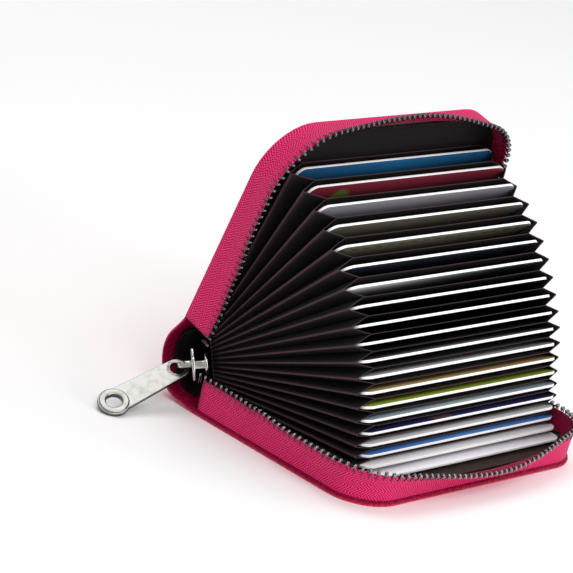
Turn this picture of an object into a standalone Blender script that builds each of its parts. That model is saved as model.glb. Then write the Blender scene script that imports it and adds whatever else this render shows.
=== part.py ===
# A zip-round card wallet with a 20-slot accordion, standing open on its rear cover.
# X runs along the spine with the slider's end at -X, the mouth faces -Y and Z is up.
# The origin is the centre of the rear cover's underside.
from math import asin, cos, hypot, pi, radians, sin

import bmesh
import bpy
from mathutils import Matrix, Vector

MM = 0.001

# The pose: how far the covers stand apart and how far the spine leans back
OPENING = radians(75)
SPINE_LEAN = radians(23)
LOWER_CROWDING = 0.67

# The accordion's slots
SLOT_COUNT = 20
SLOT_PITCH = 1.15 * MM
STACK = SLOT_COUNT * SLOT_PITCH
ACCORDION_SHIFT = 2.9 * MM

# Bank-card blanks
CARD_LENGTH = 85.6 * MM
CARD_DEPTH = 53.98 * MM
CARD_THICKNESS = 0.76 * MM
CARD_CORNER = 3.18 * MM
CARD_ROOT = 3.02 * MM
CARD_REACH = CARD_ROOT + CARD_DEPTH

# Pocket cloth: each leaf narrows to its mouth and has a folded gusset at both ends
CLOTH = 0.15 * MM
CLOTH_GAP = 0.15 * MM
LEAF_ROOT = 0.1 * MM
CARD_SHOW = 1.2 * MM
LEAF_REACH = CARD_REACH - CARD_SHOW
LEAF_TUCK = 4.8 * MM
LEAF_HALF_MOUTH = CARD_LENGTH / 2 - LEAF_TUCK
GUSSET_DEPTH = 2.6 * MM
GUSSET_HALF_SPAN = CARD_LENGTH / 2 + GUSSET_DEPTH
GUSSET_ROOT_TUCK = 0.3 * MM
GUSSET_HALF_FOLD = 0.5 * MM

# Covers, long enough for the accordion and the tapes and deep enough to close past the cards
TAPE = 0.5 * MM
TAPE_INSET = 0.7 * MM
END_ROOM = 2 * MM
MOUTH_ROOM = 12.5 * MM
COVER_HALF_LENGTH = GUSSET_HALF_SPAN + ACCORDION_SHIFT + END_ROOM + TAPE + TAPE_INSET
COVER_DEPTH = CARD_REACH + MOUTH_ROOM
COVER_CORNER = 11 * MM
LEATHER = 1.2 * MM
LEATHER_EDGE = 0.35 * MM
BOARD = 0.75 * MM
LINING = 0.3 * MM
LAYER_GAP = 0.2 * MM
FOLD_PLAY = radians(4)
FOLD_STEPS = 8

# The binding along the pockets' folds
BACK_STRIP = 0.5 * MM
BACK_STRIP_GAP = 0.3 * MM

# The spine's leather bulges behind the pockets as half an ellipse, with its end edges turned in
SPINE_BULGE = 10.3 * MM
SPINE_HEM = 5 * MM
SPINE_ARC_STEPS = 24
SPINE_LINING_START = 2

# Zip tape, sewn in under the lining, and the rows of teeth on its free edge
TAPE_HEM = 5 * MM
TAPE_START = 1 * MM
TOOTH_LENGTH = 1.1 * MM
TOOTH_PITCH = 2.2 * MM
TOOTH_REACH = 2.4 * MM
TOOTH_WIDTH = 2.2 * MM
ROW_CORE_REACH = 0.9 * MM
ROW_CORE_WIDTH = 1.1 * MM
ROW_GAP = 0.25 * MM
MEETING_GAP = 0.3 * MM
ROW_PARTING = 1.1 * MM
ROW_PARTING_END = 20 * MM
ROW_PARTING_FADE = 6 * MM
REAR_TAPE_SPLAY = radians(55)
FRONT_TAPE_SPLAY = radians(42)
SPLAY_SHARES = (0.5, 1.0, 1.25)
STOP_LENGTH = 2.4 * MM
STOP_WIDTH = 2.6 * MM
TAPE_STRAIGHT_STEPS = 8
TAPE_MOUTH_STEPS = 16
CORNER_STEPS = 6

# Slider and its bail, measured along and across the zip
SLIDER_START = 0.4 * MM
SLIDER_LENGTH = 8 * MM
SLIDER_HALF_TAIL = 4.6 * MM
SLIDER_HALF_SHOULDER = 4.9 * MM
SLIDER_HALF_NOSE = 2.2 * MM
SLIDER_PLATE = 0.9 * MM
SLIDER_HALF_CHANNEL = 1.4 * MM
SLIDER_TAIL_LENGTH = 2.4 * MM
SLIDER_POST_START = 3 * MM
SLIDER_HALF_POST = 1.1 * MM
SLIDER_EDGE = 0.3 * MM
BAIL_START = 0.7 * MM
BAIL_LENGTH = 6.8 * MM
BAIL_WIDTH = 0.8 * MM
BAIL_THICKNESS = 0.7 * MM
BAIL_HEADROOM = 3.4 * MM
BAIL_SEAT_GAP = 0.2 * MM

# Puller, measured from the eye's centre, and how it hangs from the bail's straight top
PULLER_YAW = radians(14)
PULLER_DROOP = radians(18)
PULLER_ROLL = radians(46)
PULLER_THICKNESS = 1.2 * MM
PULLER_EYE = 2.85 * MM
PULLER_EYE_HOLE = 2.1 * MM
PULLER_DISC_PLACE = 22.5 * MM
PULLER_DISC = 4.75 * MM
PULLER_HALF_NECK = 3 * MM
PULLER_HOLE = 2.35 * MM
PULLER_RIM = 3.9 * MM
PULLER_RIM_THICKNESS = 1.9 * MM
PULLER_EDGE = 0.25 * MM
CUT_OVERRUN = 1.5 * MM
ROUND_SEGMENTS = 32

# Levels in a closed cover, measured outward from the plane that the pockets fold on
LINING_TOP = 0.25 * MM
LINING_BASE = LINING_TOP + LINING
BOARD_TOP = LINING_BASE + LAYER_GAP
BOARD_BASE = BOARD_TOP + BOARD
LEATHER_TOP = BOARD_BASE + LAYER_GAP
COVER_THICKNESS = LEATHER_TOP + LEATHER
HEM_TOP = BOARD_BASE - TAPE

HINGE_Y = COVER_DEPTH / 2
TAPE_HALF_LENGTH = COVER_HALF_LENGTH - TAPE_INSET
TAPE_RISE = STACK / 2 - MEETING_GAP - TOOTH_REACH - ROW_GAP + HEM_TOP
ZIP_PLANE = TAPE_HALF_LENGTH - TAPE / 2


def fanAngle(share):
    """Opening angle of a fold at this share of the stack, crowded near the rear cover."""
    return OPENING * (share - LOWER_CROWDING * share * (1 - share))


def frameMatrix(share, angle):
    """Frame on the spine's fold line: local -Y points out to the mouth, Z to the front."""
    along = share * STACK
    place = Vector((0, HINGE_Y + along * sin(SPINE_LEAN), COVER_THICKNESS + along * cos(SPINE_LEAN)))
    return Matrix.Translation(place) @ Matrix.Rotation(-angle, 4, "X")


def slotMatrix(share):
    """Frame of a pocket fold, in the accordion that sits off the covers' middle."""
    return Matrix.Translation(Vector((ACCORDION_SHIFT, 0, 0))) @ frameMatrix(share, fanAngle(share))


def clearScene():
    for obj in list(bpy.data.objects):
        bpy.data.objects.remove(obj, do_unlink=True)


def addMaterial(name, colour, roughness, metallic=0.0):
    material = bpy.data.materials.new(name)
    material.use_nodes = True
    shader = material.node_tree.nodes["Principled BSDF"]
    shader.inputs["Base Color"].default_value = (*colour, 1)
    shader.inputs["Roughness"].default_value = roughness
    shader.inputs["Metallic"].default_value = metallic
    material.diffuse_color = (*colour, 1)
    return material


def pinkLeather(name):
    return addMaterial(name, (0.72, 0.012, 0.12), 0.42)


def greyBoard(name):
    return addMaterial(name, (0.35, 0.32, 0.28), 0.9)


def darkCloth(name):
    return addMaterial(name, (0.03, 0.016, 0.02), 0.6)


def magentaTape(name):
    return addMaterial(name, (0.5, 0.008, 0.08), 0.75)


def gunmetal(name):
    return addMaterial(name, (0.16, 0.16, 0.17), 0.28, 1.0)


def whiteCard(name):
    return addMaterial(name, (0.8, 0.8, 0.8), 0.3)


def addFrame(name, matrix):
    frame = bpy.data.objects.new(name, None)
    bpy.context.scene.collection.objects.link(frame)
    frame.matrix_world = matrix
    return frame


def addSolid(name, mesh, frame, material):
    """A named piece that sits in its frame without an offset of its own."""
    shape = bmesh.new()
    shape.from_mesh(mesh)
    bmesh.ops.recalc_face_normals(shape, faces=shape.faces)
    shape.to_mesh(mesh)
    shape.free()
    mesh.materials.append(material)
    mesh.shade_smooth()
    mesh.set_sharp_from_angle(angle=radians(35))
    obj = bpy.data.objects.new(name, mesh)
    bpy.context.scene.collection.objects.link(obj)
    obj.parent = frame
    return obj


def meshFrom(name, points, faces):
    mesh = bpy.data.meshes.new(name)
    mesh.from_pydata([tuple(point) for point in points], [], faces)
    return mesh


def loftMesh(name, sections):
    """Closed skin through sections that have the same count of points, with flat ends."""
    count = len(sections[0])
    points = [point for section in sections for point in section]
    faces = [list(range(count))[::-1], [len(points) - count + i for i in range(count)]]
    for row in range(len(sections) - 1):
        start = row * count
        for i in range(count):
            after = (i + 1) % count
            faces.append([start + i, start + after, start + count + after, start + count + i])
    return meshFrom(name, points, faces)


def prismMesh(name, outline, low, high):
    return loftMesh(name, [[(x, y, low) for x, y in outline], [(x, y, high) for x, y in outline]])


def addBevel(obj, width, segments):
    bevel = obj.modifiers.new("edge", "BEVEL")
    bevel.width = width
    bevel.segments = segments
    bevel.limit_method = "ANGLE"
    bevel.angle_limit = radians(40)


def addCut(obj, cutter, operation="DIFFERENCE"):
    cutter.hide_render = True
    cutter.display_type = "WIRE"
    cut = obj.modifiers.new(cutter.name, "BOOLEAN")
    cut.operation = operation
    cut.object = cutter


def cornerArc(centre, radius, start, end, steps):
    """Points on an arc, angles in turns of a circle measured from +X."""
    angles = [2 * pi * (start + (end - start) * i / steps) for i in range(steps + 1)]
    return [(centre[0] + radius * cos(a), centre[1] + radius * sin(a)) for a in angles]


def coverOutline(inset, back):
    """Plan of a cover layer in X and -u, from the far back corner round by the mouth."""
    half = COVER_HALF_LENGTH - inset
    mouth = inset - COVER_DEPTH
    radius = COVER_CORNER - min(inset, COVER_CORNER - CARD_CORNER)
    near = cornerArc((radius - half, mouth + radius), radius, 0.5, 0.75, CORNER_STEPS)
    far = cornerArc((half - radius, mouth + radius), radius, 0.75, 1, CORNER_STEPS)
    return [(half, -back), (-half, -back), *near, *far]


def coverLeatherMesh(name, side, foldAngle):
    """A plate whose back edge rolls round the fold line, stopping where the spine begins."""
    outline = coverOutline(0, 0)
    count = len(outline)
    points = [(x, y, -side * COVER_THICKNESS) for x, y in outline]
    points += [(x, y, -side * LEATHER_TOP) for x, y in outline]
    faces = [list(range(count)), list(range(count, 2 * count))]
    faces += [[i, (i + 1) % count, count + (i + 1) % count, count + i] for i in range(1, count)]
    roll = pi / 2 - foldAngle - FOLD_PLAY
    rows = [(0, 1, count, count + 1)]
    for step in range(1, FOLD_STEPS + 1):
        angle = roll * step / FOLD_STEPS
        first = len(points)
        for radius in (COVER_THICKNESS, LEATHER_TOP):
            for x in (COVER_HALF_LENGTH, -COVER_HALF_LENGTH):
                points.append((x, radius * sin(angle), -side * radius * cos(angle)))
        rows.append(tuple(range(first, first + 4)))
    for before, after in zip(rows, rows[1:]):
        for a, b in ((0, 1), (1, 3), (3, 2), (2, 0)):
            faces.append([before[a], before[b], after[b], after[a]])
    faces.append([rows[-1][i] for i in (0, 1, 3, 2)])
    return meshFrom(name, points, faces)


def addCover(label, frame, side, foldAngle):
    leather = coverLeatherMesh(label + "_cover_leather", side, foldAngle)
    obj = addSolid(leather.name, leather, frame, pinkLeather(leather.name))
    addBevel(obj, LEATHER_EDGE, 2)
    boardInset = TAPE_INSET + TAPE + TAPE_HEM + LAYER_GAP
    liningInset = TAPE_INSET + TAPE + LAYER_GAP
    board = prismMesh(label + "_cover_board", coverOutline(boardInset, LEATHER_TOP),
                      -side * BOARD_BASE, -side * BOARD_TOP)
    addSolid(board.name, board, frame, greyBoard(board.name))
    lining = prismMesh(label + "_cover_lining", coverOutline(liningInset, LINING_TOP),
                       -side * LINING_BASE, -side * LINING_TOP)
    addSolid(lining.name, lining, frame, darkCloth(lining.name))


def tapePath():
    """Stations along the tape's outer face: place, outward direction, near-end depth and
    how far round the mouth the station lies, from 0 at one corner to 1 at the other."""
    half = TAPE_HALF_LENGTH
    radius = COVER_CORNER - TAPE_INSET
    turn = radius - COVER_DEPTH + TAPE_INSET
    straight = -turn - TAPE_START
    bend = radius * pi / 2
    mouth = 2 * (half - radius)
    around = 2 * bend + mouth
    stations = []
    for i in range(TAPE_STRAIGHT_STEPS):
        y = -TAPE_START - straight * i / TAPE_STRAIGHT_STEPS
        stations.append(((-half, y), (-1, 0), 0))
    for i in range(CORNER_STEPS):
        a = pi + pi / 2 * i / CORNER_STEPS
        place = (radius - half + radius * cos(a), turn + radius * sin(a))
        stations.append((place, (cos(a), sin(a)), bend * i / CORNER_STEPS / around))
    for i in range(TAPE_MOUTH_STEPS):
        x = radius - half + mouth * i / TAPE_MOUTH_STEPS
        share = (bend + mouth * i / TAPE_MOUTH_STEPS) / around
        stations.append(((x, turn - radius), (0, -1), share))
    for i in range(CORNER_STEPS):
        a = 3 * pi / 2 + pi / 2 * i / CORNER_STEPS
        place = (half - radius + radius * cos(a), turn + radius * sin(a))
        stations.append((place, (cos(a), sin(a)), (bend + mouth + bend * i / CORNER_STEPS) / around))
    for i in range(TAPE_STRAIGHT_STEPS + 1):
        y = turn + straight * i / TAPE_STRAIGHT_STEPS
        stations.append(((half, y), (1, 0), 0))
    return stations


def smoothShare(value):
    value = min(max(value, 0), 1)
    return value * value * (3 - 2 * value)


def tapeRise(place):
    """The rows stand apart beside the slider's start, where its post lies between them."""
    beside = 1 - smoothShare((-place[1] - ROW_PARTING_END) / ROW_PARTING_FADE)
    return TAPE_RISE - (ROW_PARTING * beside if place[0] < 0 else 0)


def wallPoints(station, splay):
    """The tape's section from hem to free edge in outward distance and height."""
    place, _, share = station
    lean = splay * sin(pi * share) ** 2
    step = tapeRise(place) / len(SPLAY_SHARES)
    outward, height = 0, -HEM_TOP
    outer = [(outward, height)]
    for part in SPLAY_SHARES:
        outward += step * sin(lean * part)
        height += step * cos(lean * part)
        outer.append((outward, height))
    return outer, lean * SPLAY_SHARES[-1]


def stationPoint(station, side, outward, height):
    (x, y), (nx, ny), _ = station
    return (x + nx * outward, y + ny * outward, side * height)


def tapeMesh(name, side, splay):
    sections = []
    for station in tapePath():
        outer, topLean = wallPoints(station, splay)
        leans = [0, *(topLean * part / SPLAY_SHARES[-1] for part in SPLAY_SHARES)]
        inner = [(o - TAPE * cos(a), h + TAPE * sin(a)) for (o, h), a in zip(outer, leans)]
        profile = [(-TAPE - TAPE_HEM, -BOARD_BASE), (0, -BOARD_BASE), *outer[1:], *inner[:0:-1]]
        profile += [(-TAPE, -HEM_TOP), (-TAPE - TAPE_HEM, -HEM_TOP)]
        sections.append([stationPoint(station, side, o, h) for o, h in profile])
    return loftMesh(name, sections)


def rowLine(side, splay):
    """The line that carries the teeth: its points and the directions of their reach."""
    line = []
    for station in tapePath():
        outer, lean = wallPoints(station, splay)
        outward = outer[-1][0] - TAPE / 2 * cos(lean) + ROW_GAP * sin(lean)
        height = outer[-1][1] + ROW_GAP * cos(lean)
        base = Vector(stationPoint(station, side, outward, height))
        tip = Vector(stationPoint(station, side, outward + sin(lean), height + cos(lean)))
        line.append((base, (tip - base).normalized()))
    return line


def pointAlong(line, distance):
    """Place, reach and heading on the row line at this distance from its start."""
    for (here, reach), (there, nextReach) in zip(line, line[1:]):
        length = (there - here).length
        if distance <= length or there is line[-1][0]:
            share = distance / length
            heading = (there - here).normalized()
            return here.lerp(there, share), reach.lerp(nextReach, share).normalized(), heading
        distance -= length


def rowSection(line, distance, reach, width):
    place, up, heading = pointAlong(line, distance)
    across = heading.cross(up).normalized() * (width / 2)
    lift = (TOOTH_REACH - reach) / 2
    low = place + up * (lift if reach < TOOTH_REACH else 0)
    high = low + up * reach
    return [low - across, low + across, high + across, high - across]


def teethMesh(name, side, splay):
    """One cord with a square tooth at every pitch, so the row is a single solid."""
    line = rowLine(side, splay)
    total = sum((b[0] - a[0]).length for a, b in zip(line, line[1:]))
    count = int((total - STOP_LENGTH - TOOTH_LENGTH) / TOOTH_PITCH)
    sections = []
    for i in range(count):
        start = i * TOOTH_PITCH
        end = start + TOOTH_LENGTH
        if i:
            sections.append(rowSection(line, start, ROW_CORE_REACH, ROW_CORE_WIDTH))
        sections.append(rowSection(line, start, TOOTH_REACH, TOOTH_WIDTH))
        sections.append(rowSection(line, end, TOOTH_REACH, TOOTH_WIDTH))
        if i < count - 1:
            sections.append(rowSection(line, end, ROW_CORE_REACH, ROW_CORE_WIDTH))
    return loftMesh(name, sections), line, count * TOOTH_PITCH


def addZipSide(label, frame, side, splay):
    tape = tapeMesh(label + "_zip_tape", side, splay)
    addSolid(tape.name, tape, frame, magentaTape(tape.name))
    teeth, line, rowEnd = teethMesh(label + "_zip_teeth", side, splay)
    addSolid(teeth.name, teeth, frame, gunmetal(teeth.name))
    ends = (rowEnd, rowEnd + STOP_LENGTH)
    stop = loftMesh(label + "_zip_stop",
                    [rowSection(line, end, TOOTH_REACH, STOP_WIDTH) for end in ends])
    addSolid(stop.name, stop, frame, gunmetal(stop.name))


def spineArc(depth, skip):
    """Points round the bulge at this depth under its outer face, with steps left out at both ends."""
    halfChord = STACK / 2 - depth
    bulge = SPINE_BULGE - depth
    points = []
    for i in range(skip, SPINE_ARC_STEPS + 1 - skip):
        a = pi * i / SPINE_ARC_STEPS
        points.append((COVER_THICKNESS + bulge * sin(a), STACK / 2 - halfChord * cos(a)))
    return points


def spineSleeve(name, halfLength, depth, thickness, skip):
    ring = spineArc(depth, skip) + spineArc(depth + thickness, skip)[::-1]
    return loftMesh(name, [[(x, y, z) for y, z in ring] for x in (-halfLength, halfLength)])


def addSpine(frame):
    leather = spineSleeve("spine_leather", COVER_HALF_LENGTH, 0, LEATHER, 0)
    addSolid(leather.name, leather, frame, pinkLeather(leather.name))
    backing = spineSleeve("spine_lining", COVER_HALF_LENGTH - SPINE_HEM, LEATHER + LAYER_GAP, LINING,
                          SPINE_LINING_START)
    addSolid(backing.name, backing, frame, darkCloth(backing.name))
    low, high = ACCORDION_SHIFT - GUSSET_HALF_SPAN, ACCORDION_SHIFT + GUSSET_HALF_SPAN
    front, back = BACK_STRIP_GAP, BACK_STRIP_GAP + BACK_STRIP
    plan = [(low, front), (high, front), (high, back), (low, back)]
    binding = prismMesh("accordion_back_strip", plan, SLOT_PITCH / 2, STACK - SLOT_PITCH / 2)
    addSolid(binding.name, binding, frame, darkCloth(binding.name))


def offsetLine(line, distance):
    """The same open line moved sideways by this distance, with mitred corners."""
    moved = []
    for i, point in enumerate(line):
        sides = []
        for a, b in ((i - 1, i), (i, i + 1)):
            if a >= 0 and b < len(line):
                dx, dy = line[b][0] - line[a][0], line[b][1] - line[a][1]
                size = hypot(dx, dy)
                sides.append((dy / size, -dx / size))
        nx = sum(side[0] for side in sides)
        ny = sum(side[1] for side in sides)
        stretch = len(sides) * distance / (nx * nx + ny * ny)
        if len(sides) == 1:
            stretch = distance
        moved.append((point[0] + nx * stretch, point[1] + ny * stretch))
    return moved


def pocketSection(slot, reach):
    """Section of one pocket at this reach: near gusset, upper leaf and far gusset."""
    lower, upper = (slot - 1) / SLOT_COUNT, slot / SLOT_COUNT
    low = slotMatrix(lower) @ Vector((0, -reach, 0))
    high = slotMatrix(upper) @ Vector((0, -reach, 0))
    rise = (high - low).length
    travel = (reach - LEAF_ROOT) / (LEAF_REACH - LEAF_ROOT)
    rootHalf = GUSSET_HALF_SPAN - GUSSET_ROOT_TUCK
    half = rootHalf + (LEAF_HALF_MOUTH - rootHalf) * travel
    foot = CLOTH / 2 + CLOTH_GAP
    fold = min(GUSSET_HALF_FOLD, rise / 2 - foot - CLOTH / 2)
    nearSide = [(half, foot), (GUSSET_HALF_SPAN, rise / 2 - fold),
                (GUSSET_HALF_SPAN, rise / 2 + fold), (half, rise + CLOTH / 2)]
    outer = [(-x, h) for x, h in nearSide] + nearSide[::-1]
    inner = offsetLine(outer, CLOTH)
    return [low + (high - low) * (h / rise) + Vector((x, 0, 0)) for x, h in outer + inner[::-1]]


def addPocket(slot):
    """Pocket cloth in the frame that turns about its slot's fold line."""
    matrix = slotMatrix((slot - 0.5) / SLOT_COUNT)
    frame = addFrame("pocket_frame_%02d" % slot, matrix)
    inward = matrix.inverted()
    sections = []
    for reach in (LEAF_ROOT, LEAF_REACH):
        sections.append([inward @ point for point in pocketSection(slot, reach)])
    cloth = loftMesh("pocket_%02d" % slot, sections)
    addSolid(cloth.name, cloth, frame, darkCloth(cloth.name))
    half = CARD_LENGTH / 2
    root = CARD_REACH - CARD_DEPTH
    outline = []
    corners = ((1, -root, 0), (-1, -root, 0.25), (-1, -CARD_REACH, 0.5), (1, -CARD_REACH, 0.75))
    for sign, y, turn in corners:
        inset = -CARD_CORNER if turn < 0.5 else CARD_CORNER
        centre = (sign * (half - CARD_CORNER), y + inset)
        outline += cornerArc(centre, CARD_CORNER, turn, turn + 0.25, CORNER_STEPS // 2)
    card = prismMesh("card_%02d" % slot, outline, -CARD_THICKNESS / 2, CARD_THICKNESS / 2)
    addSolid(card.name, card, frame, whiteCard(card.name))


def sliderPlan(name, outline, low, high):
    """A prism over a plan in along-zip and across-zip sizes, thick along X."""
    sections = [[(x, -along, across) for along, across in outline] for x in (low, high)]
    return loftMesh(name, sections)


def addSlider(spine):
    """Two plates joined by the post that parts the rows, a bail over the outer one and a puller."""
    place = Matrix.Translation(Vector((-ZIP_PLANE, 0, STACK / 2)))
    frame = addFrame("slider_frame", spine.matrix_world @ place)
    end = SLIDER_START + SLIDER_LENGTH
    half = SLIDER_HALF_CHANNEL + SLIDER_PLATE
    tailEnd = SLIDER_START + SLIDER_TAIL_LENGTH
    shoulder = end - SLIDER_HALF_NOSE
    upper = [(SLIDER_START, SLIDER_HALF_TAIL - SLIDER_PLATE), (SLIDER_START + SLIDER_PLATE, SLIDER_HALF_TAIL),
             (tailEnd, SLIDER_HALF_TAIL), (shoulder, SLIDER_HALF_SHOULDER), (end, SLIDER_HALF_NOSE)]
    outline = upper + [(along, -across) for along, across in upper[::-1]]
    body = sliderPlan("slider_body", outline, -half, half)
    obj = addSolid(body.name, body, frame, gunmetal(body.name))
    addBevel(obj, SLIDER_EDGE, 2)
    before = SLIDER_START - CUT_OVERRUN
    beyond = end + CUT_OVERRUN
    wide = SLIDER_HALF_SHOULDER + CUT_OVERRUN
    track = [(before, wide), (beyond, wide), (beyond, SLIDER_HALF_POST),
             (SLIDER_POST_START + SLIDER_HALF_POST, SLIDER_HALF_POST)]
    track += [(SLIDER_POST_START, 0)] + [(along, -across) for along, across in track[::-1]]
    channel = sliderPlan("slider_channel_cutter", track, -SLIDER_HALF_CHANNEL, SLIDER_HALF_CHANNEL)
    addCut(obj, addSolid(channel.name, channel, frame, gunmetal(channel.name)))
    addBail(frame, half)
    addPuller(frame, half)


def addBail(frame, plateFace):
    """A flat strip arched over the outer plate."""
    span = BAIL_LENGTH / 2
    centre = BAIL_START + span
    steps = 2 * CORNER_STEPS
    sections = []
    for i in range(steps + 1):
        a = pi * i / steps
        section = []
        for radius, rise in ((span, BAIL_HEADROOM + BAIL_THICKNESS), (span - BAIL_THICKNESS, BAIL_HEADROOM)):
            along = centre - radius * cos(a)
            out = plateFace + BAIL_SEAT_GAP + rise * min(1, (2 - sin(a)) * sin(a))
            section += [(-out, -along, s * BAIL_WIDTH / 2) for s in (1, -1)][:: 1 if radius == span else -1]
        sections.append(section)
    bail = loftMesh("slider_bail", sections)
    addSolid(bail.name, bail, frame, gunmetal(bail.name))


def circle(place, radius):
    return cornerArc((place, 0), radius, 0, 1 - 1 / ROUND_SEGMENTS, ROUND_SEGMENTS - 1)


def pullerOutline():
    """Round eye end, a bar that widens to the neck and a disc, in length and half width."""
    eye = cornerArc((0, 0), PULLER_EYE, 0.75, 0.25, CORNER_STEPS * 2)
    reach = asin(PULLER_HALF_NECK / PULLER_DISC) / (2 * pi)
    disc = cornerArc((PULLER_DISC_PLACE, 0), PULLER_DISC, 0.5 - reach, reach - 0.5, 3 * CORNER_STEPS)
    return eye + disc


def addPuller(slider, plateFace):
    """The puller's frame lies on the bail's straight top, which runs through the eye."""
    height = plateFace + BAIL_SEAT_GAP + BAIL_HEADROOM + BAIL_THICKNESS / 2
    pivot = Vector((-height, -BAIL_START - BAIL_LENGTH / 2, 0))
    turn = Matrix.Rotation(pi - PULLER_YAW, 4, "Z") @ Matrix.Rotation(PULLER_DROOP, 4, "Y")
    turn = turn @ Matrix.Rotation(PULLER_ROLL, 4, "X")
    frame = addFrame("puller_frame", slider.matrix_world @ Matrix.Translation(pivot) @ turn)

    def slab(name, outline, thickness):
        sections = [[(along, y, across) for along, across in outline] for y in (-thickness / 2, thickness / 2)]
        return loftMesh(name, sections)

    bar = slab("puller", pullerOutline(), PULLER_THICKNESS)
    obj = addSolid(bar.name, bar, frame, gunmetal(bar.name))
    addBevel(obj, PULLER_EDGE, 2)
    rim = slab("puller_rim_join", circle(PULLER_DISC_PLACE, PULLER_RIM), PULLER_RIM_THICKNESS)
    addCut(obj, addSolid(rim.name, rim, frame, gunmetal(rim.name)), "UNION")
    through = PULLER_RIM_THICKNESS + CUT_OVERRUN
    hole = slab("puller_hole_cutter", circle(PULLER_DISC_PLACE, PULLER_HOLE), through)
    addCut(obj, addSolid(hole.name, hole, frame, gunmetal(hole.name)))
    eye = slab("puller_eye_cutter", circle(0, PULLER_EYE_HOLE), through)
    addCut(obj, addSolid(eye.name, eye, frame, gunmetal(eye.name)))


def build():
    clearScene()
    rear = addFrame("rear_frame", frameMatrix(0, 0))
    spine = addFrame("spine_frame", frameMatrix(0, SPINE_LEAN))
    front = addFrame("front_frame", frameMatrix(1, OPENING))
    bpy.context.view_layer.update()
    addCover("rear", rear, 1, SPINE_LEAN)
    addCover("front", front, -1, OPENING - SPINE_LEAN)
    addSpine(spine)
    addZipSide("rear", rear, 1, REAR_TAPE_SPLAY)
    addZipSide("front", front, -1, FRONT_TAPE_SPLAY)
    addSlider(spine)
    for slot in range(1, SLOT_COUNT + 1):
        addPocket(slot)


build()
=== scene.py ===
# A zip-round card wallet standing open on its rear cover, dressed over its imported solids.
# Shapes are drawn in millimetres in their own fold frames and placed in metres at the end.
from math import cos, pi, radians, sin

import bmesh
import bpy
from mathutils import Matrix, Vector, noise


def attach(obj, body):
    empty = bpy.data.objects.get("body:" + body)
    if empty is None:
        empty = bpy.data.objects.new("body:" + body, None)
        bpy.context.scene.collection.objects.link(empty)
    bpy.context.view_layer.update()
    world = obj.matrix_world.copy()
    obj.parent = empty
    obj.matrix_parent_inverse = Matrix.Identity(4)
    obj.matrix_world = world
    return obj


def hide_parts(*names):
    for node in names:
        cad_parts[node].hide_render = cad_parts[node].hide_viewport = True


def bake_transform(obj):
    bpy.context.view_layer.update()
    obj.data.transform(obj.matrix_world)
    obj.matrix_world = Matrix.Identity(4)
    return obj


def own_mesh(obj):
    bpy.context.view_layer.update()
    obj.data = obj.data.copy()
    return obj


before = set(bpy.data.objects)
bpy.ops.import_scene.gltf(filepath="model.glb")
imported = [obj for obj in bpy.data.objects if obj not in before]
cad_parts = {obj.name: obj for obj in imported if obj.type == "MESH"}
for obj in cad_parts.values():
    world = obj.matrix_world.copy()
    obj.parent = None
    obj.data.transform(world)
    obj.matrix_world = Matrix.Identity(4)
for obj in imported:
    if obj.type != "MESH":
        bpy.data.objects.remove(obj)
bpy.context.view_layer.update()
print("wallet frame loaded")

wallet = {"opening": 75, "lean": 23, "crowding": 0.67, "slots": 20, "pitch": 1.15, "shift": 4.4,
          "half": 50, "depth": 68.5, "corners": {"rear_cover": 14, "front_cover": 17.5},
          "thickness": 2.9, "bulge": 10.3,
          "farTrim": 3, "mouthTrim": 1}  # by how much the drawn covers are shorter than the solids
stack = wallet["slots"] * wallet["pitch"]
lean = radians(wallet["lean"])
opening = radians(wallet["opening"])
hingeY = wallet["depth"] / 2
toMetres = Matrix.Scale(0.001, 4) @ Matrix.Translation((-wallet["farTrim"] / 2, wallet["mouthTrim"] / 2, 0))
toMillimetres = toMetres.inverted()


def fanAngle(share):
    return opening * (share - wallet["crowding"] * share * (1 - share))


def foldFrame(share, angle, shift=0):
    along = share * stack
    place = Vector((shift, hingeY + along * sin(lean), wallet["thickness"] + along * cos(lean)))
    return toMetres @ Matrix.Translation(place) @ Matrix.Rotation(-angle, 4, "X")


def slotFrame(share):
    return foldFrame(share, fanAngle(share), wallet["shift"])


rearFrame = foldFrame(0, 0)
spineFrame = foldFrame(0, lean)
frontFrame = foldFrame(1, opening)


# Finishes
def newFinish(name, colour, roughness, **sockets):
    finish = bpy.data.materials.new(name)
    finish.use_nodes = True
    shader = finish.node_tree.nodes["Principled BSDF"]
    shader.inputs["Base Color"].default_value = (*colour, 1)
    shader.inputs["Roughness"].default_value = roughness
    for socket, value in sockets.items():
        shader.inputs[socket.replace("_", " ")].default_value = value
    return finish, finish.node_tree, shader


def addNode(tree, kind, sockets, **settings):
    node = tree.nodes.new("ShaderNode" + kind)
    for name, value in settings.items():
        setattr(node, name, value)
    for name, value in sockets.items():
        if isinstance(value, bpy.types.NodeSocket):
            tree.links.new(value, node.inputs[name])
        else:
            node.inputs[name].default_value = value
    return node


def calc(tree, operation, *values):
    return addNode(tree, "Math", dict(enumerate(values)), operation=operation).outputs[0]


def ramp(tree, value, stops):  # colours or grey levels at places from 0 to 1
    node = addNode(tree, "ValToRGB", {0: value})
    band = node.color_ramp
    while len(band.elements) < len(stops):
        band.elements.new(0.5)
    for element, (place, colour) in zip(band.elements, stops):
        element.position = place
        element.color = (*colour, 1) if isinstance(colour, tuple) else (colour, colour, colour, 1)
    return node.outputs[0]


def mixColour(tree, share, first, second):
    node = addNode(tree, "Mix", {}, data_type="RGBA")
    for index, value in ((0, share), (6, first), (7, second)):
        if isinstance(value, bpy.types.NodeSocket):
            tree.links.new(value, node.inputs[index])
        else:
            node.inputs[index].default_value = (*value, 1) if isinstance(value, tuple) else value
    return node.outputs[2]


def feed(shader, socket, value):
    shader.id_data.links.new(value, shader.inputs[socket])


def addBump(shader, height, distance):
    bump = addNode(shader.id_data, "Bump", {"Height": height, "Distance": distance, "Strength": 1.0})
    feed(shader, "Normal", bump.outputs[0])


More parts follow.
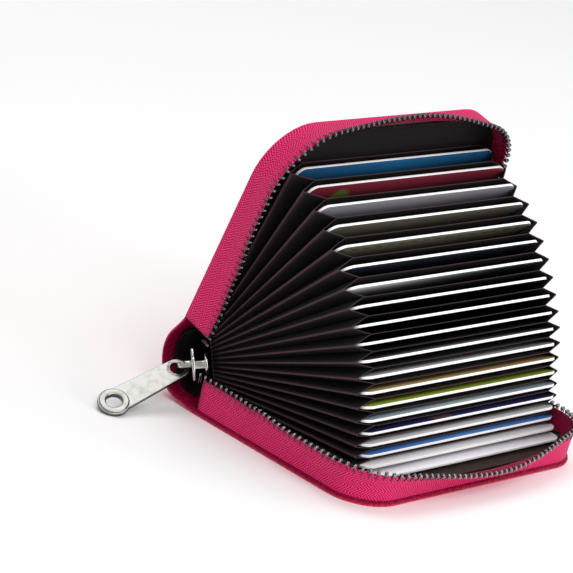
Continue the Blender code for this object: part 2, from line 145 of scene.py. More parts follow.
def objectPlace(tree):
    return addNode(tree, "TexCoord", {}).outputs["Object"]


def mottle(tree, scale, detail=2.0):  # soft noise over the piece, from 0 to 1
    sockets = {"Vector": objectPlace(tree), "Scale": scale, "Detail": detail}
    return addNode(tree, "TexNoise", sockets).outputs[0]


def weavePlace(tree):
    place = addNode(tree, "UVMap", {}, uv_map="weave").outputs[0]
    return addNode(tree, "SeparateXYZ", {0: place}).outputs


def creaseShare(tree):
    return addNode(tree, "Attribute", {}, attribute_name="crease").outputs["Fac"]


def sineWave(tree, value, length):
    return calc(tree, "SINE", calc(tree, "MULTIPLY", value, 2 * pi / length))


def distanceFrom(tree, value, place):
    return calc(tree, "ABSOLUTE", calc(tree, "SUBTRACT", value, place))


# the hem colour is painted shade on the leather's turned-in border
leatherLook = {"colour": (0.84, 0.010, 0.095), "crack": (0.60, 0.003, 0.05), "pale": (0.92, 0.022, 0.135),
               "hem": (0.24, 0.001, 0.03), "coat": 0.35, "coatRoughness": 0.22, "roughness": 0.32,
               "specular": 0.42, "hemSpecular": 0.08, "pebbles": 430, "fine": 1300, "fineCap": 0.16,
               "fineHeight": 0.9, "stir": 330, "stirReach": 0.0016, "drift": 55, "relief": 0.0005,
               "domeStops": [(0.0, 0.0), (0.1, 0.55), (0.28, 0.9), (0.6, 1.0)],
               "crackStops": [(0.0, 0.6), (0.04, 0.2), (0.12, 0.0)],
               "polishStops": [(0.3, 0.3), (0.7, 0.46)]}


# domed pebbles with cracks between them, plain on the hem and darkened there with painted shade
def leatherFinish(name, look=leatherLook):
    finish, tree, shader = newFinish(name, look["colour"], look["roughness"],
                                     Coat_Roughness=look["coatRoughness"])
    place = objectPlace(tree)
    stir = addNode(tree, "TexNoise", {"Vector": place, "Scale": look["stir"], "Detail": 3.0}).outputs["Color"]
    stirred = addNode(tree, "VectorMath", {0: stir, 1: (look["stirReach"],) * 3, 2: place},
                      operation="MULTIPLY_ADD").outputs[0]
    pebble, fine = [addNode(tree, "TexVoronoi", {"Vector": stirred, "Scale": look[grain]},
                            feature="DISTANCE_TO_EDGE").outputs[0] for grain in ("pebbles", "fine")]
    dome = ramp(tree, pebble, look["domeStops"])
    grit = calc(tree, "MINIMUM", fine, look["fineCap"])
    height = calc(tree, "MULTIPLY_ADD", grit, look["fineHeight"], dome)
    drift = mottle(tree, look["drift"])
    shade = mixColour(tree, drift, look["colour"], look["pale"])
    skinColour = mixColour(tree, ramp(tree, pebble, look["crackStops"]), shade, look["crack"])
    hem = creaseShare(tree)
    plain = calc(tree, "SUBTRACT", 1.0, hem)
    # the hem mixes in the darker colour as painted shade
    feed(shader, "Base Color", mixColour(tree, hem, skinColour, look["hem"]))
    feed(shader, "Roughness", ramp(tree, drift, look["polishStops"]))
    feed(shader, "Coat Weight", calc(tree, "MULTIPLY", plain, look["coat"]))
    specular = calc(tree, "MULTIPLY_ADD", plain, look["specular"], look["hemSpecular"])
    feed(shader, "Specular IOR Level", specular)
    addBump(shader, height, look["relief"])
    return finish


tapeLook = {"colour": (0.70, 0.004, 0.11), "deep": (0.22, 0.001, 0.04), "lit": (0.95, 0.07, 0.25),
            "yarn": 0.95, "column": 2.2, "dot": 0.8, "dotShare": 0.7, "stir": 420, "stirReach": 0.35,
            "drift": 1500, "driftShare": 0.3, "darken": -0.15, "relief": 0.00016}
# a darker copy of the tape for the wall's inner face: painted shade
shadedTapeLook = {"colour": (0.36, 0.0015, 0.045), "deep": (0.12, 0.0005, 0.015), "lit": (0.55, 0.01, 0.09)}


# herringbone: slanting dotted yarns that change side at every column along the tape
def tapeFinish(name, look):
    finish, tree, shader = newFinish(name, look["colour"], 0.6, Sheen_Weight=0.02, Specular_IOR_Level=0.15)
    along, across, _ = weavePlace(tree)
    side = calc(tree, "PINGPONG", across, look["column"])
    straight = calc(tree, "ADD", along, side)
    slant = calc(tree, "MULTIPLY_ADD", mottle(tree, look["stir"]), look["stirReach"], straight)
    yarn = sineWave(tree, slant, look["yarn"])
    dot = sineWave(tree, calc(tree, "SUBTRACT", along, side), look["dot"])
    height = calc(tree, "MULTIPLY_ADD", calc(tree, "MULTIPLY_ADD", dot, look["dotShare"], yarn), 0.3, 0.5)
    deeper = calc(tree, "ADD", height, look["darken"])
    lift = calc(tree, "MULTIPLY_ADD", mottle(tree, look["drift"]), look["driftShare"], deeper)
    # darker in the weave's dips and lighter on its raised yarns: painted shade and painted highlight over a
    # random tone
    shades = [(0.15, look["deep"]), (0.5, look["colour"]), (0.95, look["lit"])]
    feed(shader, "Base Color", ramp(tree, lift, shades))
    addBump(shader, height, look["relief"])
    return finish


# crease: the cloth's colour on its folds and mouth edges, a painted highlight
clothLook = {"colour": (0.0042, 0.0032, 0.0035), "rib": (0.0115, 0.0085, 0.0092),
             "crease": (0.075, 0.040, 0.048), "pitch": 0.5, "relief": 0.00004,
             "grain": 2600, "highlightGrain": 0.8, "highlightBase": 0.55}
trayLook = dict(clothLook, colour=(0.012, 0.008, 0.007), rib=(0.085, 0.050, 0.042),
                crease=(0.09, 0.05, 0.045), pitch=1.1, relief=0.00012)


def clothFinish(name, look):  # ribbed cloth, paler along its creases with painted highlight
    finish, tree, shader = newFinish(name, look["colour"], 0.62, Specular_IOR_Level=0.12, Sheen_Weight=0.02)
    rib = calc(tree, "MULTIPLY_ADD", sineWave(tree, weavePlace(tree)[0], look["pitch"]), 0.5, 0.5)
    grain = mottle(tree, look["grain"])
    body = ramp(tree, calc(tree, "MULTIPLY", rib, grain), [(0.1, look["colour"]), (0.6, look["rib"])])
    highlightStrength = calc(tree, "MULTIPLY_ADD", grain, look["highlightGrain"], look["highlightBase"])
    paintedLight = calc(tree, "MULTIPLY", creaseShare(tree), highlightStrength)
    feed(shader, "Base Color", mixColour(tree, paintedLight, body, look["crease"]))
    addBump(shader, rib, look["relief"])
    return finish


metalLook = {"brush": (900, 900, 9000), "scratch": 0.06, "wear": 420, "dull": 0.72, "relief": 0.000004}


def metalFinish(name, colour, roughness, look=metalLook):  # brushed, with duller wear
    finish, tree, shader = newFinish(name, colour, roughness, Metallic=1.0)
    brushed = addNode(tree, "Mapping", {"Vector": objectPlace(tree), "Scale": look["brush"]}).outputs[0]
    scuff = addNode(tree, "TexNoise", {"Vector": brushed, "Scale": 1.0, "Detail": 4.0}).outputs[0]
    feed(shader, "Roughness", ramp(tree, scuff, [(0.3, roughness), (0.75, roughness + look["scratch"])]))
    dull = tuple(c * look["dull"] for c in colour)
    feed(shader, "Base Color", ramp(tree, mottle(tree, look["wear"], 3.0), [(0.25, dull), (0.55, colour)]))
    addBump(shader, scuff, look["relief"])
    return finish


boardLook = {"colour": (0.35, 0.31, 0.26), "dark": (0.26, 0.22, 0.18), "light": (0.42, 0.38, 0.32),
             "roughness": 0.9, "fibre": 900, "detail": 6.0, "relief": 0.00005}
edgeLook = {"colour": (0.94, 0.94, 0.94), "dark": (0.92, 0.92, 0.92), "light": (0.97, 0.97, 0.97),
            "roughness": 0.35, "fibre": 900, "detail": 3.0, "relief": 0.00001}


def fibreFinish(name, look):  # raw board and the cut edges of the cards
    finish, tree, shader = newFinish(name, look["colour"], look["roughness"])
    fibre = mottle(tree, look["fibre"], look["detail"])
    feed(shader, "Base Color", ramp(tree, fibre, [(0.3, look["dark"]), (0.7, look["light"])]))
    addBump(shader, fibre, look["relief"])
    return finish


def threadFinish():
    finish, tree, shader = newFinish("pink_thread", (0.90, 0.13, 0.28), 0.55, Sheen_Weight=0.2)
    strand = addNode(tree, "TexWave", {"Vector": objectPlace(tree), "Scale": 1400.0, "Distortion": 2.0},
                     bands_direction="DIAGONAL")
    addBump(shader, strand.outputs[1], 0.00005)
    return finish


pinkLeather = leatherFinish("pink_leather")
pinkThread = threadFinish()
magentaTape = tapeFinish("magenta_tape", tapeLook)
# the tape's inner face: a darker copy as painted shade
shadedTape = tapeFinish("crimson_tape_painted_shade", dict(tapeLook, **shadedTapeLook))
darkCloth = clothFinish("dark_ribbed_cloth", clothLook)
brownCloth = clothFinish("brown_ribbed_cloth", trayLook)
gunmetal = metalFinish("gunmetal", (0.10, 0.10, 0.11), 0.2)
# a lighter copy of the teeth's dark metal for the rear row's heads: painted highlight
litBeadMetal = metalFinish("bead_metal_painted_highlight", (0.22, 0.22, 0.22), 0.1)
darkBead = metalFinish("dark_bead", (0.11, 0.11, 0.12), 0.14)
# darker metal for the puller's sides and rims: painted shade and painted dark reflection
rimShadeMetal = metalFinish("rim_metal_painted_shade", (0.12, 0.12, 0.135), 0.22)
nickel = metalFinish("nickel", (0.56, 0.55, 0.52), 0.16)
silver = metalFinish("puller_silver", (0.345, 0.345, 0.325), 0.3)
whiteEdge = fibreFinish("card_edge", edgeLook)
print("finishes mixed")


# Shapes
# a grid whose lines stand at these places; place gives each crossing's point, weave and crease share, which
# carries painted light: shade on the leather's hem, highlight on the cloth's folds
def gridShape(columns, rows, place):
    shape = bmesh.new()
    bmesh.ops.create_grid(shape, x_segments=len(columns) - 1, y_segments=len(rows) - 1, size=1)
    weave = shape.loops.layers.uv.new("weave")
    crease = shape.verts.layers.float.new("crease")
    woven = {}
    for vert in shape.verts:
        i = round((vert.co.x + 1) / 2 * (len(columns) - 1))
        j = round((vert.co.y + 1) / 2 * (len(rows) - 1))
        point, woven[vert], paintedLight = place(columns[i], rows[j])
        vert.co = point
        vert[crease] = paintedLight
    for face in shape.faces:
        for loop in face.loops:
            loop[weave].uv = woven[loop.vert]
    return shape


# turns an open sheet over if its middle face, or the face that ranks highest, looks the wrong way
def faceOutward(shape, outward, rank=None):
    shape.normal_update()
    shape.faces.ensure_lookup_table()
    judge = max(shape.faces, key=rank) if rank else shape.faces[len(shape.faces) // 2]
    if judge.normal.dot(outward) < 0:
        bmesh.ops.reverse_faces(shape, faces=shape.faces)


def clamped(value):
    return min(max(value, 0), 1)


def eased(value):
    value = clamped(value)
    return value * value * (3 - 2 * value)


def spaced(start, end, count):
    return [start + (end - start) * i / count for i in range(count + 1)]


def bothSides(outer, middle):  # the same lines on either side of the middle ones
    return [-x for x in outer[::-1]] + middle + outer


def addObject(name, data):
    item = bpy.data.objects.new(name, data)
    bpy.context.scene.collection.objects.link(item)
    return item


def asMesh(shape, name):
    mesh = bpy.data.meshes.new(name)
    shape.to_mesh(mesh)
    shape.free()
    return mesh


def addPiece(name, shape, finishes, matrix=toMetres, sharp=40):
    bmesh.ops.transform(shape, matrix=matrix, verts=shape.verts)
    mesh = asMesh(shape, name)
    for finish in finishes:
        mesh.materials.append(finish)
    mesh.shade_smooth()
    mesh.set_sharp_from_angle(angle=radians(sharp))
    return addObject(name, mesh)


def thicken(piece, thickness, inner=0):
    wall = piece.modifiers.new("wall", "SOLIDIFY")
    wall.thickness = thickness * 0.001
    wall.offset = -1
    wall.material_offset = inner


def absorb(target, source):  # moves one shape into another
    mesh = asMesh(source, "absorbed")
    target.from_mesh(mesh)
    bpy.data.meshes.remove(mesh)


def addCopy(target, source, matrix):  # adds a finished small mesh to a larger shape
    known = len(target.verts)
    target.from_mesh(source)
    target.verts.ensure_lookup_table()
    bmesh.ops.transform(target, matrix=matrix, verts=target.verts[known:])


def soften(shape, edges, offset, segments):
    bmesh.ops.bevel(shape, geom=edges, offset=offset, segments=segments, affect="EDGES",
                    profile=0.5, material=-1)


def edgesAlong(shape, axis, least):  # the edges that reach further than this along an axis
    return [e for e in shape.edges if abs(e.verts[0].co[axis] - e.verts[1].co[axis]) > least]


def plainBlock(size):
    shape = bmesh.new()
    bmesh.ops.create_cube(shape, size=1)
    bmesh.ops.scale(shape, vec=size, verts=shape.verts)
    return shape


def roundBox(size, centre, edge, segments):
    shape = plainBlock(size)
    soften(shape, shape.edges[:], edge, segments)
    bmesh.ops.translate(shape, vec=centre, verts=shape.verts)
    return shape


def raisedPlan(points, lift):  # a flat face through the points, raised into a solid
    shape = bmesh.new()
    face = shape.faces.new([shape.verts.new(point) for point in points])
    raised = bmesh.ops.extrude_face_region(shape, geom=[face])
    top = [item for item in raised["geom"] if isinstance(item, bmesh.types.BMVert)]
    bmesh.ops.translate(shape, vec=lift, verts=top)
    return shape


# Leather skins: each runs from a mouth edge round its fold to the middle of the spine
skin = {"turn": 0.6, "hem": 5, "setIn": {"rear_cover": 0.45, "front_cover": 0.95}, "darkFrom": 0.25,
        "darkOver": 0.5, "sheet": 0.45, "step": 1.2, "cornerSteps": 9, "dip": 0.14, "dipSize": 7,
        "dipEdge": 6, "pastFold": 0.4, "faceSteps": 70, "bulgeFrom": 22, "bulgeSteps": 60, "evenStep": 0.5,
        "smoothing": 14, "rearBlend": (-3.5, 4.5), "frontBlend": (19.5, 28)}


def frameToSide(matrix, y, z):
    point = toMillimetres @ matrix @ Vector((0, y, z))
    return Vector((point.y, point.z))


# the outer face of the leather, seen from the side, from the rear mouth to the front mouth
def skinSide():
    level = wallet["thickness"]
    line = [Vector((y, 0)) for y in spaced(-hingeY, hingeY + skin["pastFold"], skin["faceSteps"])]
    for angle in spaced(skin["bulgeFrom"], 180 - skin["bulgeFrom"], skin["bulgeSteps"]):
        a = radians(angle)
        line.append(frameToSide(spineFrame, level + wallet["bulge"] * sin(a), stack / 2 * (1 - cos(a))))
    line += [frameToSide(frontFrame, -u, level) for u in spaced(0, wallet["depth"], skin["faceSteps"])]
    even = []
    for here, there in zip(line, line[1:]):
        parts = max(1, round((there - here).length / skin["evenStep"]))
        even += [here.lerp(there, i / parts) for i in range(parts)]
    even.append(line[-1])
    for _ in range(skin["smoothing"]):
        even = [even[0]] + [(a + 2 * b + c) / 4 for a, b, c in zip(even, even[1:], even[2:])] + [even[-1]]
    return even


class SideLine:  # a line in the side view that is walked by distance

    def __init__(self, points):
        self.points = points
        self.distances = [0]
        for here, there in zip(points, points[1:]):
            self.distances.append(self.distances[-1] + (there - here).length)
        self.length = self.distances[-1]

    def at(self, distance):  # point and direction at this distance
        low, high = 0, len(self.points) - 1
        while high - low > 1:
            middle = (low + high) // 2
            if self.distances[middle] <= distance:
                low = middle
            else:
                high = middle
        here, there = self.points[low], self.points[high]
        share = (distance - self.distances[low]) / (self.distances[high] - self.distances[low])
        return here.lerp(there, share), (there - here).normalized()


skinLine = SideLine(skinSide())
skinMiddle = skinLine.length / 2


# distance from the corner's centre and depth under the face, once the border is turned in
def turnedIn(reach, corner):
    turn = skin["turn"]
    over = reach - (corner - turn)
    if over <= 0:
        return reach, 0
    if over <= pi * turn:
        return corner - turn + turn * sin(over / turn), turn * (1 - cos(over / turn))
    return corner - turn - (over - pi * turn), 2 * turn


# rounds the two mouth corners of a plan and works its border; gives x, v and the border's second value
def roundedPlan(x, v, half, corner, border):
    ax, av = abs(x) - (half - corner), corner - v
    sign = 1 if x > 0 else -1
    if ax <= 0 and av <= 0:
        return x, v, border(0, corner)[1]
    if av <= 0:
        reach, level = border(ax, corner)
        return sign * (half - corner + reach), v, level
    if ax <= 0:
        reach, level = border(av, corner)
        return x, corner - reach, level
    angle = pi / 4 * av / ax if ax >= av else pi / 2 - pi / 4 * ax / av
    reach, level = border(max(ax, av), corner)
    return sign * (half - corner + reach * cos(angle)), corner - reach * sin(angle), level


# a grid in the unrolled leather, its border turned in, wrapped along the side line
def leatherSkin(name, cover):
    fromRear = cover == "rear_cover"
    setIn, turn = skin["setIn"][cover], skin["turn"]
    half, corner = wallet["half"] - setIn, wallet["corners"][cover] - setIn
    border = [turn * pi * k / 6 for k in range(7)] + [turn * pi + skin["hem"] * k / 3 for k in (1, 2, 3)]
    inner = half - turn
    outer = spaced(half - corner, inner, skin["cornerSteps"])[1:-1] + [inner + b for b in border]
    count = round(2 * (half - corner) / skin["step"])
    columns = bothSides(outer, spaced(corner - half, half - corner, count))
    rows = [turn - b for b in border[::-1]] + spaced(turn, corner, skin["cornerSteps"])[1:-1]
    rows += spaced(corner, skinMiddle - setIn, round((skinMiddle - corner) / skin["step"]))
    walk = skinLine if fromRear else SideLine(skinLine.points[::-1])

    def place(x, v):
        px, pv, level = roundedPlan(x, v, half, corner, turnedIn)
        point, heading = walk.at(min(pv + setIn, skinMiddle))
        inward = Vector((-heading.y, heading.x)) if fromRear else Vector((heading.y, -heading.x))
        if level == 0:
            clear = min(1, max(0, (half - abs(px)) / skin["dipEdge"]), max(0, pv / skin["dipEdge"]))
            mound = noise.noise(Vector((px, point.x, point.y)) / skin["dipSize"])
            level = skin["dip"] * clear * (0.5 + 0.5 * mound)
        seat = point + inward * level
        # the third value is the share of painted shade, growing as the border turns in deep under the face
        return Vector((px, seat.x, seat.y)), (px, pv), eased((level - skin["darkFrom"]) / skin["darkOver"])

    shape = gridShape(columns, rows, place)
    faceOutward(shape, Vector((0, 0, -1)) if fromRear else Vector((0, sin(opening), cos(opening))))
    piece = addPiece(name, shape, [pinkLeather])
    thicken(piece, skin["sheet"])
    return piece


rearSkin = leatherSkin("rear_leather_skin", "rear_cover")
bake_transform(rearSkin)
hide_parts("rear_cover_leather", "spine_leather")
frontSkin = leatherSkin("front_leather_skin", "front_cover")
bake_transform(frontSkin)
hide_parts("front_cover_leather")
print("leather skins wrapped")

stitching = {"inset": 3.2, "pitch": 2.9, "length": 2.3, "width": 0.5, "height": 0.34, "slant": 4,
             "lastRow": 65, "rearSink": 0.15, "frontRise": 0.05}


def stitchRow(name, matrix, body, face):  # short threads on a cover's outer face, round three sides
    inset, corner, half = stitching["inset"], wallet["corners"][body], wallet["half"]
    side = stitching["lastRow"] - corner
    arc = (corner - inset) * pi / 2
    mouth = 2 * (half - corner)
    total = 2 * side + 2 * arc + mouth
    one = bmesh.new()
    bmesh.ops.create_uvsphere(one, u_segments=8, v_segments=6, radius=0.5)
    size = (stitching["width"], stitching["length"], stitching["height"])
    bmesh.ops.scale(one, vec=size, verts=one.verts)
    thread = asMesh(one, name + "_thread")
    row = bmesh.new()
    count = round(total / stitching["pitch"])
    for i in range(count):
        walked = (i + 0.5) * total / count
        mirrored = walked > total / 2
        if mirrored:
            walked = total - walked
        if walked < side:
            x, v, turn = half - inset, stitching["lastRow"] - walked, 0
        elif walked < side + arc:
            turn = (walked - side) / (corner - inset)
            x = half - corner + (corner - inset) * cos(turn)
            v = corner - (corner - inset) * sin(turn)
        else:
            x, v, turn = half - corner - (walked - side - arc), inset, pi / 2
        if mirrored:
            x, turn = -x, -turn
        spot = Matrix.Translation(Vector((x, v - wallet["depth"], face))) @ Matrix.Rotation(-turn, 4, "Z")
        addCopy(row, thread, spot @ Matrix.Rotation(radians(stitching["slant"]), 4, "Z"))
    bpy.data.meshes.remove(thread)
    piece = addPiece(name, row, [pinkThread], matrix)
    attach(piece, body)


stitchRow("rear_cover_stitches", rearFrame, "rear_cover", -wallet["thickness"] + stitching["rearSink"])
stitchRow("front_cover_stitches", frontFrame, "front_cover", wallet["thickness"] + stitching["frontRise"])
print("covers stitched")

# Linings
lining = {"top": 0.4, "inset": 1.3, "lift": 2.6, "edge": 3.4, "edgeLines": (0, 0.12, 0.27, 0.45, 0.7, 1),
          "thickness": 0.3, "start": 0.6, "across": 40, "along": 30, "cornerSteps": 4, "wave": 0.12,
          "waveSize": 9, "spineDepth": 1.75, "spineInset": 4.6, "spineFrom": 16, "spineWave": 0.15,
          "spineWaveSize": 8, "ribsRound": 12}


def coverLining(name, matrix, side, body, cad, cloth):
    half, corner = wallet["half"] - lining["inset"], wallet["corners"][body] - lining["inset"]
    edge = [lining["edge"] * share for share in lining["edgeLines"]]
    outer = spaced(half - corner, half - lining["edge"], lining["cornerSteps"])[1:-1]
    outer += [half - e for e in edge[::-1]]
    columns = bothSides(outer, spaced(corner - half, half - corner, lining["across"]))
    rows = edge + spaced(lining["edge"], corner, lining["cornerSteps"])[1:-1]
    rows += spaced(corner, wallet["depth"] - lining["inset"] - lining["start"], lining["along"])

    def place(x, v):
        px, pv, reach = roundedPlan(x, v, half, corner, lambda r, c: (r, r))
        gap = max(0, corner - reach)
        rise = lining["lift"] * max(0, 1 - gap / lining["edge"]) ** 2
        spot = Vector((px / lining["waveSize"], pv / lining["waveSize"], side * 5))
        level = side * (rise + lining["wave"] * noise.noise(spot) - lining["top"])
        return Vector((px, pv + lining["inset"] - wallet["depth"], level)), (px, pv), 0

    shape = gridShape(columns, rows, place)
    faceOutward(shape, Vector((0, 0, side)))
    piece = addPiece(name, shape, [cloth], matrix)
    thicken(piece, lining["thickness"])
    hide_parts(cad)
    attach(piece, body)


coverLining("rear_cover_cloth", rearFrame, 1, "rear_cover", "rear_cover_lining", brownCloth)
coverLining("front_cover_cloth", frontFrame, -1, "front_cover", "front_cover_lining", darkCloth)


def spineCloth():  # the cloth inside the spine's bulge, tucked under the leather's turned-in ends
    half = wallet["half"] - lining["spineInset"]
    level = wallet["thickness"] - lining["spineDepth"]

    def place(x, a):
        wave = lining["spineWave"] * noise.noise(Vector((x / lining["spineWaveSize"], a * 2, 3)))
        y = level + wallet["bulge"] * sin(a) + wave
        z = stack / 2 - (stack / 2 - lining["spineDepth"]) * cos(a)
        return Vector((x, y, z)), (a * lining["ribsRound"], x), 0

    turns = spaced(radians(lining["spineFrom"]), radians(180 - lining["spineFrom"]), 30)
    shape = gridShape(spaced(-half, half, 60), turns, place)
    faceOutward(shape, Vector((0, -1, 0)))
    piece = addPiece("spine_cloth", shape, [darkCloth], spineFrame)
    thicken(piece, lining["thickness"])
    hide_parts("spine_lining")
    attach(piece, "spine")


spineCloth()

binding = {"half": 45.4, "place": 0.35, "fold": 0.35, "thickness": 0.25, "pleatSteps": 4}


def backBinding():  # the binding behind the pockets, pressed into a pleat at every fold, each pleat with a painted highlight
    half, pitch = binding["half"], wallet["pitch"]

    def place(x, z):
        dent = 1 - abs((z / pitch) % 1 - 0.5) * 2
        return Vector((x + wallet["shift"], binding["place"] + binding["fold"] * dent, z)), (z, x), dent

    levels = spaced(pitch / 2, stack - pitch / 2, (wallet["slots"] - 1) * binding["pleatSteps"])
    shape = gridShape(spaced(-half, half, 40), levels, place)
    faceOutward(shape, Vector((0, 1, 0)))
    piece = addPiece("accordion_binding", shape, [darkCloth], spineFrame)
    thicken(piece, binding["thickness"])
    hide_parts("accordion_back_strip")
    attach(piece, "spine")


backBinding()

board = {"inset": 2.4, "fold": 1.6, "far": 1.5, "near": 0.75, "arcSteps": 15}


def coverBoard(cover, matrix, side):  # the stiff board inside a cover, with its two mouth corners round
    half, corner = wallet["half"] - board["inset"], wallet["corners"][cover] - board["inset"]
    mouth = board["inset"] - wallet["depth"]
    turns = [radians(a) for a in spaced(0, 90, board["arcSteps"])]
    outline = [(-half, -board["fold"]), (half, -board["fold"])]
    outline += [(half - corner + corner * cos(a), mouth + corner - corner * sin(a)) for a in turns]
    outline += [(corner - half - corner * sin(a), mouth + corner - corner * cos(a)) for a in turns]
    points = [(x, y, -side * board["far"]) for x, y in outline]
    shape = raisedPlan(points, (0, 0, side * (board["far"] - board["near"])))
    bmesh.ops.recalc_face_normals(shape, faces=shape.faces)
    piece = addPiece(cover + "_stiffener", shape, [fibreFinish(cover + "_grey", boardLook)], matrix)
    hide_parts(cover + "_board")
    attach(piece, cover)


coverBoard("rear_cover", rearFrame, 1)
coverBoard("front_cover", frontFrame, -1)
print("linings laid")

# Zip: tape walls with a row of separate teeth on their free edges
zipLook = {"inset": 0.7, "start": 1.0, "hemTop": 1.0, "rise": 9.55, "tape": 0.5,
           "feet": {"rear": 1.62, "front": 2.6}, "footPlaces": (-3.4, -0.1), "footLean": 0.3,
           "splays": {"rear": 55, "front": 42}, "nearLean": 20, "farLeans": {"rear": 3, "front": 8},
           "leanFrom": 8, "leanFull": 34, "leanBase": 0.25, "leanGain": 1.5, "tipGain": 0.75,
           "parting": 0.7, "partingEnd": 20, "partingFade": 6, "ripple": 0.1, "weaveStep": 0.8,
           "pitch": 2.2, "gap": 0.25, "firstTooth": 0.55, "stop": 2.4, "stopRoom": 1.1, "stopPast": 1.2}


# stations along the tape's outer face: place, outward direction and the share round the mouth
def tapeWalk(corner, straightSteps=30, cornerSteps=10, mouthSteps=44):
    half = wallet["half"] - zipLook["inset"]
    radius = corner - zipLook["inset"]
    turn = radius - wallet["depth"] + zipLook["inset"]
    straight = -turn - zipLook["start"]
    bend, mouth = radius * pi / 2, 2 * (half - radius)
    around = 2 * bend + mouth
    walk = []

    def addBend(x, heading, before):  # round a mouth corner, from this heading and distance on
        for i in range(cornerSteps):
            a = heading + pi / 2 * i / cornerSteps
            out = Vector((cos(a), sin(a)))
            walk.append((Vector((x, turn)) + radius * out, out, (before + bend * i / cornerSteps) / around))

    for i in range(straightSteps):
        walk.append((Vector((-half, -zipLook["start"] - straight * i / straightSteps)), Vector((-1, 0)), 0))
    addBend(radius - half, pi, 0)
    for i in range(mouthSteps):
        share = (bend + mouth * i / mouthSteps) / around
        walk.append((Vector((radius - half + mouth * i / mouthSteps, turn - radius)), Vector((0, -1)), share))
    addBend(half - radius, 3 * pi / 2, bend + mouth)
    for i in range(straightSteps + 1):
        walk.append((Vector((half, turn + straight * i / straightSteps)), Vector((1, 0)), 0))
    return walk


# outward distance, height and lean up the tape's wall, in even steps
def wallCurve(station, splay, farLean, steps=12):
    place, _, share = station
    near = 0
    if share < 0.5 and place.x < 0:
        near = radians(zipLook["nearLean"]) * eased((-place.y - zipLook["leanFrom"]) / zipLook["leanFull"])
    elif place.x > 0:
        near = -radians(farLean)
    fullLean = near + (splay - near) * sin(pi * share) ** 2
    beside = 1 - eased((-place.y - zipLook["partingEnd"]) / zipLook["partingFade"])
    rise = zipLook["rise"] - (zipLook["parting"] * beside if place.x < 0 else 0)
    outward, height = 0, -zipLook["hemTop"]
    curve = [(outward, height, zipLook["footLean"] * fullLean)]
    for step in range(steps):
        f = (step + 0.5) / steps
        part = 1 + zipLook["tipGain"] * (f - 0.5)
        if f < 0.5:
            part = zipLook["leanBase"] + zipLook["leanGain"] * f
        outward += rise / steps * sin(fullLean * part)
        height += rise / steps * cos(fullLean * part)
        curve.append((outward, height, fullLean * part))
    return curve


def wallPoint(station, side, outward, height):
    place, out, _ = station
    return Vector((place.x + out.x * outward, place.y + out.y * outward, side * height))


def addTape(label, matrix, side):
    splay = radians(zipLook["splays"][label])
    walk = tapeWalk(wallet["corners"][label + "_cover"])
    curves = [wallCurve(station, splay, zipLook["farLeans"][label]) for station in walk]
    along = [0]
    for (here, _, _), (there, _, _) in zip(walk, walk[1:]):
        along.append(along[-1] + (there - here).length)

    def place(i, k):  # the first two rows are the foot under the cover's lining, the others the wall
        if k < 2:
            outward, height = zipLook["footPlaces"][k], -zipLook["feet"][label]
        else:
            outward, height, _ = curves[i][k - 2]
        ripple = zipLook["ripple"] * noise.noise(Vector((along[i] / 5, k / 4, side))) * min(1, k / 6)
        point = wallPoint(walk[i], side, outward + ripple, height)
        return point, (along[i], k * zipLook["weaveStep"]), 0

    shape = gridShape(list(range(len(walk))), list(range(len(curves[0]) + 2)), place)
    faceOutward(shape, Vector((0, -1, 0)), lambda face: -face.calc_center_median().y)
    piece = addPiece(label + "_tape", shape, [magentaTape, shadedTape], matrix, sharp=60)
    # the inner face of the wall takes the tape with painted shade
    thicken(piece, zipLook["tape"], inner=1)
    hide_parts(label + "_zip_tape")
    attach(piece, label + "_cover")
    return walk, curves


tooth = {"length": 1.0, "width": 1.5, "head": (0.25, 1.5), "headEdge": 0.42, "legWidth": 0.46,
         "legThick": 0.32, "legOut": 0.26, "legLow": -1.7, "legInto": 0.4, "legEdge": 0.12, "taper": 0.6}


# a head over the tape's edge and two legs that clamp it, made once and copied along the row
def toothShape():
    low, high = tooth["head"]
    size, centre = (tooth["length"], tooth["width"], high - low), (0, 0, (low + high) / 2)
    one = bmesh.new()
    absorb(one, roundBox(size, centre, tooth["headEdge"], 2))
    for hand in (-1, 1):
        tall = low + tooth["legInto"] - tooth["legLow"]
        leg = plainBlock((tooth["legWidth"], tooth["legThick"], tall))
        for vert in leg.verts:
            if vert.co.z < 0:
                vert.co.x *= tooth["taper"]
                vert.co.y *= tooth["taper"]
        soften(leg, edgesAlong(leg, 2, tall / 2), tooth["legEdge"], 1)
        across = hand * (tooth["legOut"] + tooth["legThick"] / 2)
        bmesh.ops.translate(leg, vec=(0, across, tooth["legLow"] + tall / 2), verts=leg.verts)
        for face in leg.faces:
            face.material_index = 1
        absorb(one, leg)
    return asMesh(one, "tooth")


def rowStations(walk, curves, side):  # where the teeth sit: base point and reach at every station
    line = []
    for station, curve in zip(walk, curves):
        outward, height, topLean = curve[-1]
        baseOut = outward - zipLook["tape"] / 2 * cos(topLean) + zipLook["gap"] * sin(topLean)
        baseHeight = height + zipLook["gap"] * cos(topLean)
        base = wallPoint(station, side, baseOut, baseHeight)
        tip = wallPoint(station, side, baseOut + sin(topLean), baseHeight + cos(topLean))
        line.append((base, (tip - base).normalized()))
    return line


def spotOnRow(line, distance):
    for (here, up), (there, nextUp) in zip(line, line[1:]):
        length = (there - here).length
        if distance <= length:
            heading = (there - here).normalized()
            reach = up.lerp(nextUp, distance / length).normalized()
            across = reach.cross(heading).normalized()
            spot = Matrix((heading, across, reach)).transposed().to_4x4()
            return Matrix.Translation(here.lerp(there, distance / length)) @ spot
        distance -= length


zipStop = {"block": (2.3, 2.2, 2.3), "blockPlace": (0, 0, 1.2), "blockEdge": 0.35,
           "legs": (1.9, 1.35, 2.6), "legsPlace": (0, 0, -0.4), "legsEdge": 0.3}


